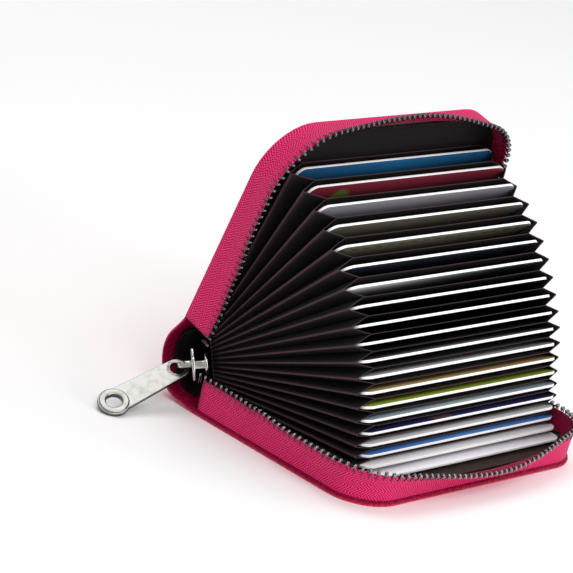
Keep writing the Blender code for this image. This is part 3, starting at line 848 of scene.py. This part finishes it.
def addTeeth(label, matrix, side, head, walk, curves):
    line = rowStations(walk, curves, side)
    total = sum((b[0] - a[0]).length for a, b in zip(line, line[1:]))
    count = int((total - zipLook["stop"] - zipLook["stopRoom"]) / zipLook["pitch"])
    row = bmesh.new()
    pattern = toothShape()
    for i in range(-1, count):
        addCopy(row, pattern, spotOnRow(line, i * zipLook["pitch"] + zipLook["firstTooth"]))
    bpy.data.meshes.remove(pattern)
    piece = addPiece(label + "_teeth", row, [head, gunmetal], matrix, sharp=50)
    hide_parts(label + "_zip_teeth")
    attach(piece, label + "_cover")
    block = roundBox(zipStop["block"], zipStop["blockPlace"], zipStop["blockEdge"], 3)
    absorb(block, roundBox(zipStop["legs"], zipStop["legsPlace"], zipStop["legsEdge"], 2))
    place = spotOnRow(line, count * zipLook["pitch"] + zipLook["stopPast"])
    bmesh.ops.transform(block, matrix=place, verts=block.verts)
    stop = addPiece(label + "_stop", block, [gunmetal], matrix)
    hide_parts(label + "_zip_stop")
    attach(stop, label + "_cover")


# the rear row's heads take the lighter metal as painted highlight; the front row's keep the dark metal
for label, matrix, side, head in (("rear", rearFrame, 1, litBeadMetal), ("front", frontFrame, -1, darkBead)):
    addTeeth(label, matrix, side, head, *addTape(label, matrix, side))
print("zip sewn in")

# Slider and puller
slider = {"plane": wallet["half"] - 0.95, "start": -2.4, "length": 8, "tail": 4.6, "tailEnd": 2.4,
          "shoulder": 4.9, "nose": 2.2, "plate": 0.9, "channel": 1.4, "corner": 0.7, "edge": 0.28,
          "post": 1.1, "postStart": 0.2, "postTaper": 1.1, "postEnd": 0.3, "postInto": 0.2, "postEdge": 0.15,
          "bailStart": -2.1, "bailLength": 6.8, "bailWidth": 1.7, "bailThickness": 0.8, "bailHeadroom": 3.4,
          "bailSink": 0.25, "seat": 0.2, "turned": 45, "inward": 1.2, "innerShare": 0.66}
sliderFrame = spineFrame @ Matrix.Translation(Vector((-slider["plane"], 0, stack / 2)))
sliderMiddle = Vector((0, -slider["start"] - slider["length"] / 2, 0))
turnedSlider = (Matrix.Translation(sliderMiddle + Vector((slider["inward"], 0, 0)))
                @ Matrix.Rotation(-radians(slider["turned"]), 4, "Z") @ Matrix.Translation(-sliderMiddle))
sliderSeat = sliderFrame @ turnedSlider  # the slider stands askew on the tapes' very start


# a plan in along and across sizes raised along X, its corners rounded and its rims softened
def planSolid(points, low, high, corner, edge):
    shape = raisedPlan([(low, -along, across) for along, across in points], (high - low, 0, 0))
    if corner:
        soften(shape, edgesAlong(shape, 0, (high - low) / 2), corner, 5)
    bmesh.ops.recalc_face_normals(shape, faces=shape.faces)
    rims = [e for e in shape.edges if len(e.link_faces) == 2 and e.calc_face_angle(0) > radians(60)]
    soften(shape, rims, edge, 3)
    return shape


def addSliderBody():
    start, tail, plate = slider["start"], slider["tail"], slider["plate"]
    end = start + slider["length"]
    upper = [(start, tail - plate), (start + plate, tail), (start + slider["tailEnd"], tail),
             (end - slider["nose"], slider["shoulder"]), (end, slider["nose"])]
    plan = upper + [(along, -across) for along, across in upper[::-1]]
    body = bmesh.new()
    for sign in (-1, 1):
        low, high = sorted((sign * slider["channel"], sign * (slider["channel"] + plate)))
        share = 1 if sign < 0 else slider["innerShare"]
        outline = [(along, across * share) for along, across in plan]
        absorb(body, planSolid(outline, low, high, slider["corner"], slider["edge"]))
    half, first, taper = slider["post"], slider["postStart"], slider["postStart"] + slider["postTaper"]
    last = end - slider["postEnd"]
    post = [(first, 0), (taper, half), (last, half), (last, -half), (taper, -half)]
    reach = slider["channel"] + slider["postInto"]
    absorb(body, planSolid(post, -reach, reach, 0, slider["postEdge"]))
    piece = addPiece("slider_shell", body, [nickel], sliderSeat)
    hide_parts("slider_body")
    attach(piece, "slider")


def addBailArch():  # a strip arched over the outer plate, rounded on its long edges
    foot = slider["channel"] + slider["plate"] + slider["seat"] - slider["bailSink"]
    span = slider["bailLength"] / 2
    centre = slider["bailStart"] + span
    half = slider["bailWidth"] / 2
    ring = [(0, -1), (0.25, -1), (0.75, -1), (1, -0.6), (1, 0.6), (0.75, 1), (0.25, 1), (0, 0.6), (0, -0.6)]

    def place(a, k):
        inward, across = ring[k]
        radius = span - inward * slider["bailThickness"]
        rise = slider["bailHeadroom"] + (1 - inward) * slider["bailThickness"]
        out = foot + rise * min(1, (2 - sin(a)) * sin(a))
        return Vector((-out, -(centre - radius * cos(a)), across * half)), (a, k), 0

    shape = gridShape(spaced(0, pi, 40), list(range(len(ring))), place)
    bmesh.ops.remove_doubles(shape, verts=shape.verts, dist=0.001)
    bmesh.ops.holes_fill(shape, edges=[e for e in shape.edges if e.is_boundary])
    bmesh.ops.recalc_face_normals(shape, faces=shape.faces)
    piece = addPiece("slider_bail_arch", shape, [nickel], sliderSeat)
    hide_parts("slider_bail")
    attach(piece, "slider")


puller = {"yaw": 14, "droop": 18, "roll": 46, "thickness": 1.2, "eye": 3.4, "eyeHole": 2.1, "eyeEdge": 0.25,
          "discPlace": 22.5, "disc": 4.75, "discEdge": 0.3, "neck": 4.1, "barEdge": 0.2, "hole": 2.35,
          "rim": 4.35, "rimInto": 0.4, "rimThickness": 1.9, "rimEdge": 0.42, "flatFrom": 0.6, "ringSteps": 56,
          "hang": 1.25}  # how far the eye hangs on the bail


# a closed profile of radius and thickness spun round the puller's thickness axis
def spunRing(profile, place):
    shape = bmesh.new()
    ring = [shape.verts.new((radius, level, 0)) for radius, level in profile]
    edges = [shape.edges.new((ring[i - 1], ring[i])) for i in range(len(ring))]
    bmesh.ops.spin(shape, geom=ring + edges, cent=(0, 0, 0), axis=(0, 1, 0), angle=2 * pi,
                   steps=puller["ringSteps"], use_merge=True)
    bmesh.ops.remove_doubles(shape, verts=shape.verts, dist=0.0005)
    bmesh.ops.recalc_face_normals(shape, faces=shape.faces)
    bmesh.ops.translate(shape, vec=(place, 0, 0), verts=shape.verts)
    return shape


def softProfile(inner, outer, half, edge):  # a rectangle in radius and thickness with softened corners
    points = []
    for cx, cy, start in ((outer - edge, half - edge, 0), (inner + edge, half - edge, 90),
                          (inner + edge, edge - half, 180), (outer - edge, edge - half, 270)):
        for k in range(4):
            a = radians(start + 30 * k)
            points.append((cx + edge * cos(a), cy + edge * sin(a)))
    return points


def addPuller():
    height = (slider["channel"] + slider["plate"] + slider["seat"] + slider["bailHeadroom"]
              + slider["bailThickness"] / 2)
    pivot = Vector((-height, -slider["bailStart"] - slider["bailLength"] / 2, 0))
    yaw = Matrix.Rotation(pi - radians(puller["yaw"]), 4, "Z")
    droop = Matrix.Rotation(radians(puller["droop"]), 4, "Y")
    roll = Matrix.Rotation(radians(puller["roll"]), 4, "X")
    matrix = sliderFrame @ Matrix.Translation(turnedSlider @ pivot) @ (yaw @ droop) @ roll
    matrix = Matrix.Translation(toMetres.to_3x3() @ Vector((0, 0, -puller["hang"]))) @ matrix
    half, hole, eye, neck = puller["thickness"] / 2, puller["hole"], puller["eye"], puller["neck"]
    shape = bmesh.new()
    for place, inner, outer, thick, edge in (
            (0, puller["eyeHole"], eye, half, puller["eyeEdge"]),
            (puller["discPlace"], hole + puller["rimInto"], puller["disc"], half, puller["discEdge"]),
            (puller["discPlace"], hole, puller["rim"], puller["rimThickness"] / 2, puller["rimEdge"])):
        absorb(shape, spunRing(softProfile(inner, outer, thick, edge), place))
    join = puller["discPlace"] - (puller["disc"] ** 2 - neck ** 2) ** 0.5
    turns = [radians(a) for a in range(-90, 91, 15)]
    hollow = [(puller["eyeHole"] * cos(a), puller["eyeHole"] * sin(a)) for a in turns]
    plan = [(0, eye), (join, neck), (join, -neck), (0, -eye)] + hollow
    bar = planSolid(plan, -half, half, 0, puller["barEdge"])
    bmesh.ops.rotate(bar, matrix=Matrix.Rotation(pi / 2, 3, "Z"), verts=bar.verts)
    absorb(shape, bar)
    shape.normal_update()
    # the sides and rims take the darker metal: painted shade and painted dark reflection
    for face in shape.faces:
        if abs(face.normal.y) < puller["flatFrom"]:
            face.material_index = 1
    piece = addPiece("puller_tab", shape, [silver, rimShadeMetal], matrix)
    piece.modifiers.new("flat_faces", "WEIGHTED_NORMAL")
    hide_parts("puller")
    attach(piece, "puller")


addSliderBody()
addBailArch()
addPuller()
print("slider fitted")

# Accordion pockets
# the pocket's mouth edge and gusset folds get a painted highlight
pocket = {"cloth": 0.15, "root": 0.1, "reach": 55.8, "halfMouth": 38, "halfSpan": 45.4,
          "farMouth": 40, "farSpan": 43.8, "farTip": 45.5, "flareFrom": 32, "flareLow": 14, "flareHigh": 20,
          "rootTuck": 0.3, "fold": 0.2, "foldShare": 0.1, "sag": 0.15, "sagFrom": 3, "curl": 0.3,
          "lip": 0.45, "lipShare": 0.995, "lipHighlight": 0.9, "endHighlight": 0.75, "foldHighlightFade": 0.12, "ribs": 9}


# places across one pocket: near gusset foot 0, its fold 1, leaf ends 2 and 3, far fold 4, far foot 5
def pocketColumns():
    gusset = [0, 0.3, 0.6, 0.8, 0.9, 1.0, 1.1, 1.2, 1.4, 1.7]
    return gusset + spaced(2, 3, 10) + [5 - g for g in gusset[::-1]]


def addPocket(slot):
    lower, upper = (slot - 1) / wallet["slots"], slot / wallet["slots"]
    lowFrame, highFrame, middle = slotFrame(lower), slotFrame(upper), slotFrame((lower + upper) / 2)
    angle = fanAngle((lower + upper) / 2)
    clear = pocket["reach"] * min(sin(angle), sin(opening - angle))
    flare = clamped((clear - pocket["flareLow"]) / (pocket["flareHigh"] - pocket["flareLow"]))

    def spanAt(reach, mirror):  # half span at the root and here, and half width of the leaf's mouth
        if mirror < 0:
            return pocket["halfSpan"], pocket["halfSpan"], pocket["halfMouth"]
        beyond = max(reach - pocket["flareFrom"], 0) / (pocket["reach"] - pocket["flareFrom"])
        tip = pocket["farSpan"] + (pocket["farTip"] - pocket["farSpan"]) * flare * beyond
        return pocket["farSpan"], tip, pocket["farMouth"]

    def place(reach, q):
        low = toMillimetres @ lowFrame @ Vector((0, -reach, 0))
        high = toMillimetres @ highFrame @ Vector((0, -reach, 0))
        rise = (high - low).length
        travel = (reach - pocket["root"]) / (pocket["reach"] - pocket["root"])
        atLip = travel > pocket["lipShare"]
        fold = min(pocket["fold"], rise / 2 - pocket["cloth"])
        halves = []
        for mirror in (-1, 1):
            rootSpan, span, mouth = spanAt(reach, mirror)
            rootHalf = rootSpan - pocket["rootTuck"]
            halves.append((span, rootHalf + (mouth - rootHalf) * travel))
        if 2 <= q <= 3:  # the leaf, sagging a little
            x = -halves[0][1] + (halves[0][1] + halves[1][1]) * (q - 2)
            h = rise - pocket["sag"] * travel ** 2 * sin(pi * (q - 2)) * min(1, rise / pocket["sagFrom"])
            # the leaf's mouth edge gets a painted highlight
            paintedLight = pocket["lipHighlight"] if atLip else 0
        else:  # a gusset, folded inward at w = 1
            mirror, w = (-1, q) if q < 2 else (1, 5 - q)
            span, half = halves[0] if mirror < 0 else halves[1]
            side = clamped((abs(w - 1) - pocket["foldShare"]) / (1 - pocket["foldShare"]))
            flat = fold * min(abs(w - 1) / pocket["foldShare"], 1) if w != 1 else 0
            if w < 1:
                h = (rise / 2 - flat) * (1 - side)
            else:
                h = rise / 2 + flat + (rise / 2 - flat) * side
            stir = noise.noise(Vector((reach / 14, slot * 3.1, mirror * w)))
            x = mirror * (span + (half - span) * side)
            x += mirror * (pocket["curl"] * travel * sin(pi * side) * stir)
            # the gusset's fold and its mouth end get a painted highlight
            paintedLight = max(0, 1 - max(abs(w - 1) - pocket["foldShare"], 0) / pocket["foldHighlightFade"])
            if atLip:
                paintedLight = max(paintedLight, pocket["endHighlight"])
        point = low + (high - low) * (h / rise) + Vector((x, 0, 0))
        return point, (reach, q * pocket["ribs"]), paintedLight

    reaches = spaced(pocket["root"], pocket["reach"] - pocket["lip"], 15) + [pocket["reach"]]
    shape = gridShape(reaches, pocketColumns(), place)
    up = highFrame.to_3x3() @ Vector((0, 0, 1))

    def leafRank(face):  # highest in the middle of the upper leaf
        centre = face.calc_center_median()
        return centre.dot(up) - abs(centre.x - wallet["shift"])

    faceOutward(shape, up, leafRank)
    name = "pocket_%02d" % slot
    piece = addPiece(name + "_cloth", shape, [darkCloth], sharp=70)
    thicken(piece, pocket["cloth"])
    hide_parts(name)
    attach(piece, name)
    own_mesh(piece)


for slot in range(1, wallet["slots"] + 1):
    addPocket(slot)
print("pockets folded")

# Cards: generic printed faces, from the lowest slot to the highest
card = {"pulls": (3, 1.2), "length": 85.6, "depth": 53.98, "thickness": 0.76, "corner": 3.18, "root": 3.02,
        "edge": 0.1}
# in the plain prints the two colours are one ink, lit near the pocket's mouth and in painted shade deeper in
cardPrints = [
    ("lilac_white", (0.72, 0.70, 0.80), (0.86, 0.84, 0.90), "plain"),
    ("pinkish_white", (0.72, 0.66, 0.70), (0.80, 0.76, 0.76), "plain"),
    ("blue", (0.03, 0.10, 0.42), (0.10, 0.28, 0.62), "fade"),
    ("silver_white", (0.55, 0.53, 0.55), (0.80, 0.80, 0.80), "fade"),
    ("navy", (0.010, 0.012, 0.05), (0.03, 0.03, 0.12), "band"),
    ("blue_grey", (0.20, 0.30, 0.36), (0.55, 0.64, 0.68), "fade"),
    ("green", (0.22, 0.34, 0.02), (0.36, 0.46, 0.05), "plain"),
    ("tan", (0.46, 0.25, 0.06), (0.62, 0.42, 0.18), "plain"),
    ("white_grey", (0.50, 0.50, 0.50), (0.80, 0.80, 0.79), "fade"),
    ("charcoal_white", (0.02, 0.02, 0.025), (0.40, 0.42, 0.45), "fade"),
    ("black", (0.008, 0.008, 0.01), (0.02, 0.02, 0.025), "plain"),
    ("smoke", (0.012, 0.012, 0.015), (0.03, 0.03, 0.035), "plain"),
    ("dark_wine", (0.03, 0.008, 0.014), (0.02, 0.01, 0.014), "plain"),
    ("white_fade", (0.03, 0.04, 0.06), (0.80, 0.80, 0.80), "sweep"),
    ("dark_navy", (0.012, 0.014, 0.022), (0.02, 0.024, 0.04), "plain"),
    ("olive_tan", (0.13, 0.12, 0.08), (0.17, 0.16, 0.11), "dashes"),
    ("olive_brown", (0.075, 0.062, 0.05), (0.10, 0.09, 0.07), "plain"),
    ("silver_grey", (0.20, 0.21, 0.25), (0.27, 0.25, 0.28), "fade"),
    ("maroon", (0.13, 0.012, 0.025), (0.17, 0.018, 0.035), "disc"),
    ("deep_blue", (0.008, 0.05, 0.12), (0.012, 0.10, 0.23), "waves"),
]
printLook = {"roughness": 0.3, "coat": 0.6, "coatRoughness": 0.08, "speck": 1800, "speckShare": 0.06,
             "relief": 0.000004, "sweepStops": [(0.05, 0.9), (0.45, 0.35), (0.8, 0.0)],
             "fadeStops": [(0.0, 0.15), (0.5, 0.95), (1.0, 0.3)], "pocketShadeStops": [(0.0, 1.0), (1.0, 0.0)],
             "disc": (0.17, 0.12), "discStretch": 1.59, "discStops": [(0.06, 1.0), (0.09, 0.0)],
             "arcs": (1.6, -0.55), "arcRise": (-0.45, 0.22), "arcPower": 1.6,
             "arcStops": [(0.0, 1.0), (0.05, 0.0)], "arcFade": [(0.2, 0.0), (0.35, 0.7), (0.62, 0.0)],
             "dashStep": 0.03, "dashGap": 0.016, "dashPlace": 0.045, "dashHalf": 0.006,
             "bandPlace": 0.40, "bandHalf": 0.05, "bandShare": 0.5,
             "inks": {"disc": (0.09, 0.16, 0.02), "waves": (0.35, 0.45, 0.42), "dashes": (0.03, 0.03, 0.02),
                      "band": (0.20, 0.09, 0.05)}}


def printMark(tree, style, u, v):  # where the second ink of a print lies, from 0 to 1
    look = printLook
    if style == "disc":  # a plain round patch near the left end
        off = calc(tree, "MULTIPLY", distanceFrom(tree, u, look["disc"][0]), look["discStretch"])
        squares = [calc(tree, "POWER", part, 2.0) for part in (off, distanceFrom(tree, v, look["disc"][1]))]
        return ramp(tree, calc(tree, "POWER", calc(tree, "ADD", *squares), 0.5), look["discStops"])
    if style == "waves":  # soft pale arcs across the sheet
        spread = calc(tree, "ABSOLUTE", calc(tree, "MULTIPLY_ADD", u, *look["arcs"]))
        bow = calc(tree, "MULTIPLY_ADD", calc(tree, "POWER", spread, look["arcPower"]), *look["arcRise"])
        arc = ramp(tree, distanceFrom(tree, v, bow), look["arcStops"])
        return calc(tree, "MULTIPLY", arc, ramp(tree, u, look["arcFade"]))
    if style == "dashes":
        dash = calc(tree, "GREATER_THAN", calc(tree, "PINGPONG", u, look["dashStep"]), look["dashGap"])
        line = calc(tree, "LESS_THAN", distanceFrom(tree, v, look["dashPlace"]), look["dashHalf"])
        return calc(tree, "MULTIPLY", dash, line)
    line = calc(tree, "LESS_THAN", distanceFrom(tree, u, look["bandPlace"]), look["bandHalf"])
    return calc(tree, "MULTIPLY", line, look["bandShare"])


# a glossy print in the card's own plan, from 0 to 1 both ways
def cardFinish(name, base, second, style, look=printLook):
    finish, tree, shader = newFinish("print_" + name, base, look["roughness"], Coat_Weight=look["coat"],
                                     Coat_Roughness=look["coatRoughness"])
    u, v, _ = weavePlace(tree)
    speck = mottle(tree, look["speck"])
    if style == "sweep":
        share = ramp(tree, u, look["sweepStops"])
    elif style == "plain":
        # plain prints: lighter at the mouth end and darker deeper in the pocket, a painted shade
        share = ramp(tree, v, look["pocketShadeStops"])
    else:
        share = ramp(tree, u, look["fadeStops"])
    shade = mixColour(tree, calc(tree, "MULTIPLY_ADD", speck, look["speckShare"], share), base, second)
    if style in look["inks"]:
        shade = mixColour(tree, printMark(tree, style, u, v), shade, look["inks"][style])
    feed(shader, "Base Color", shade)
    addBump(shader, speck, look["relief"])
    return finish


def addCard(slot):
    share = (slot - 0.5) / wallet["slots"]
    shape = plainBlock((card["length"], card["depth"], card["thickness"]))
    soften(shape, edgesAlong(shape, 2, 0.1), card["corner"], 10)
    upright = set(edgesAlong(shape, 2, 0.1))
    rims = [e for e in shape.edges if e not in upright and e.calc_face_angle(0) > 1]
    soften(shape, rims, card["edge"], 2)
    weave = shape.loops.layers.uv.new("weave")
    shape.normal_update()
    for face in shape.faces:
        face.material_index = 0 if abs(face.normal.z) > 0.99 else 1
        for loop in face.loops:
            loop[weave].uv = (loop.vert.co.x / card["length"] + 0.5, loop.vert.co.y / card["depth"] + 0.5)
    pull = card["pulls"][slot - 1] if slot <= len(card["pulls"]) else 0
    bmesh.ops.translate(shape, vec=(0, -card["root"] - pull - card["depth"] / 2, 0), verts=shape.verts)
    piece = addPiece("printed_card_%02d" % slot, shape, [cardFinish(*cardPrints[slot - 1]), whiteEdge],
                     slotFrame(share))
    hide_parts("card_%02d" % slot)
    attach(piece, "card_%02d" % slot)


for slot in range(1, wallet["slots"] + 1):
    addCard(slot)
print("cards filed")

# Floor, light and camera
studio = {"floor": (0.93, 0.93, 0.935), "floorSize": 4, "floorDrop": 0.00006, "sky": 0.5,
          "lens": 191.365, "sensor": 36, "shiftX": -0.2218, "shiftY": 0.09975,
          "target": (0.0029, 0.00475, 0.0279), "away": 0.8877,
          "right": (0.6566, -0.7201, 0.2243), "up": (0.1133, 0.3882, 0.9146), "lampTarget": (0, 0, 0.03),
          "lamps": [("key_light", (-0.55, -0.75, 1.05), 0.75, 7), ("fill_light", (0.9, -0.5, 0.55), 0.7, 2.6),
                    ("top_light", (0.1, 0.35, 1.2), 0.9, 5), ("front_light", (0.15, -1.15, 0.3), 0.6, 4.5)]}


def addStudio():
    ground = bmesh.new()
    bmesh.ops.create_grid(ground, x_segments=4, y_segments=4, size=studio["floorSize"])
    bmesh.ops.translate(ground, vec=(0, 0, -studio["floorDrop"]), verts=ground.verts)
    finish, tree, shader = newFinish("studio_floor", studio["floor"], 0.7)
    feed(shader, "Base Color", ramp(tree, mottle(tree, 6.0), [(0.3, 0.93), (0.7, 0.94)]))
    addPiece("studio_floor", ground, [finish], Matrix.Identity(4))
    sky = bpy.data.worlds.new("studio_sky")
    sky.use_nodes = True
    sky.node_tree.nodes["Background"].inputs[0].default_value = (1, 1, 1, 1)
    sky.node_tree.nodes["Background"].inputs[1].default_value = studio["sky"]
    bpy.context.scene.world = sky
    for name, place, size, power in studio["lamps"]:
        lamp = bpy.data.lights.new(name, "AREA")
        lamp.shape = "DISK"
        lamp.size = size
        lamp.energy = power
        holder = addObject(name, lamp)
        holder.location = place
        aim = Vector(studio["lampTarget"]) - Vector(place)
        holder.rotation_euler = aim.to_track_quat("-Z", "Y").to_euler()


def addCamera():
    lens = bpy.data.cameras.new("photo_camera")
    lens.sensor_width = studio["sensor"]
    lens.lens = studio["lens"]
    lens.shift_x, lens.shift_y = studio["shiftX"], studio["shiftY"]
    lens.clip_start = 0.01
    camera = addObject("photo_camera", lens)
    right = Vector(studio["right"]).normalized()
    back = right.cross(Vector(studio["up"])).normalized()
    turn = Matrix((right, back.cross(right), back)).transposed().to_4x4()
    camera.matrix_world = Matrix.Translation(Vector(studio["target"]) + back * studio["away"]) @ turn
    bpy.context.scene.camera = camera


addStudio()
addCamera()
bpy.context.scene.view_settings.view_transform = "Standard"
print("studio lit")

bpy.context.view_layer.update()
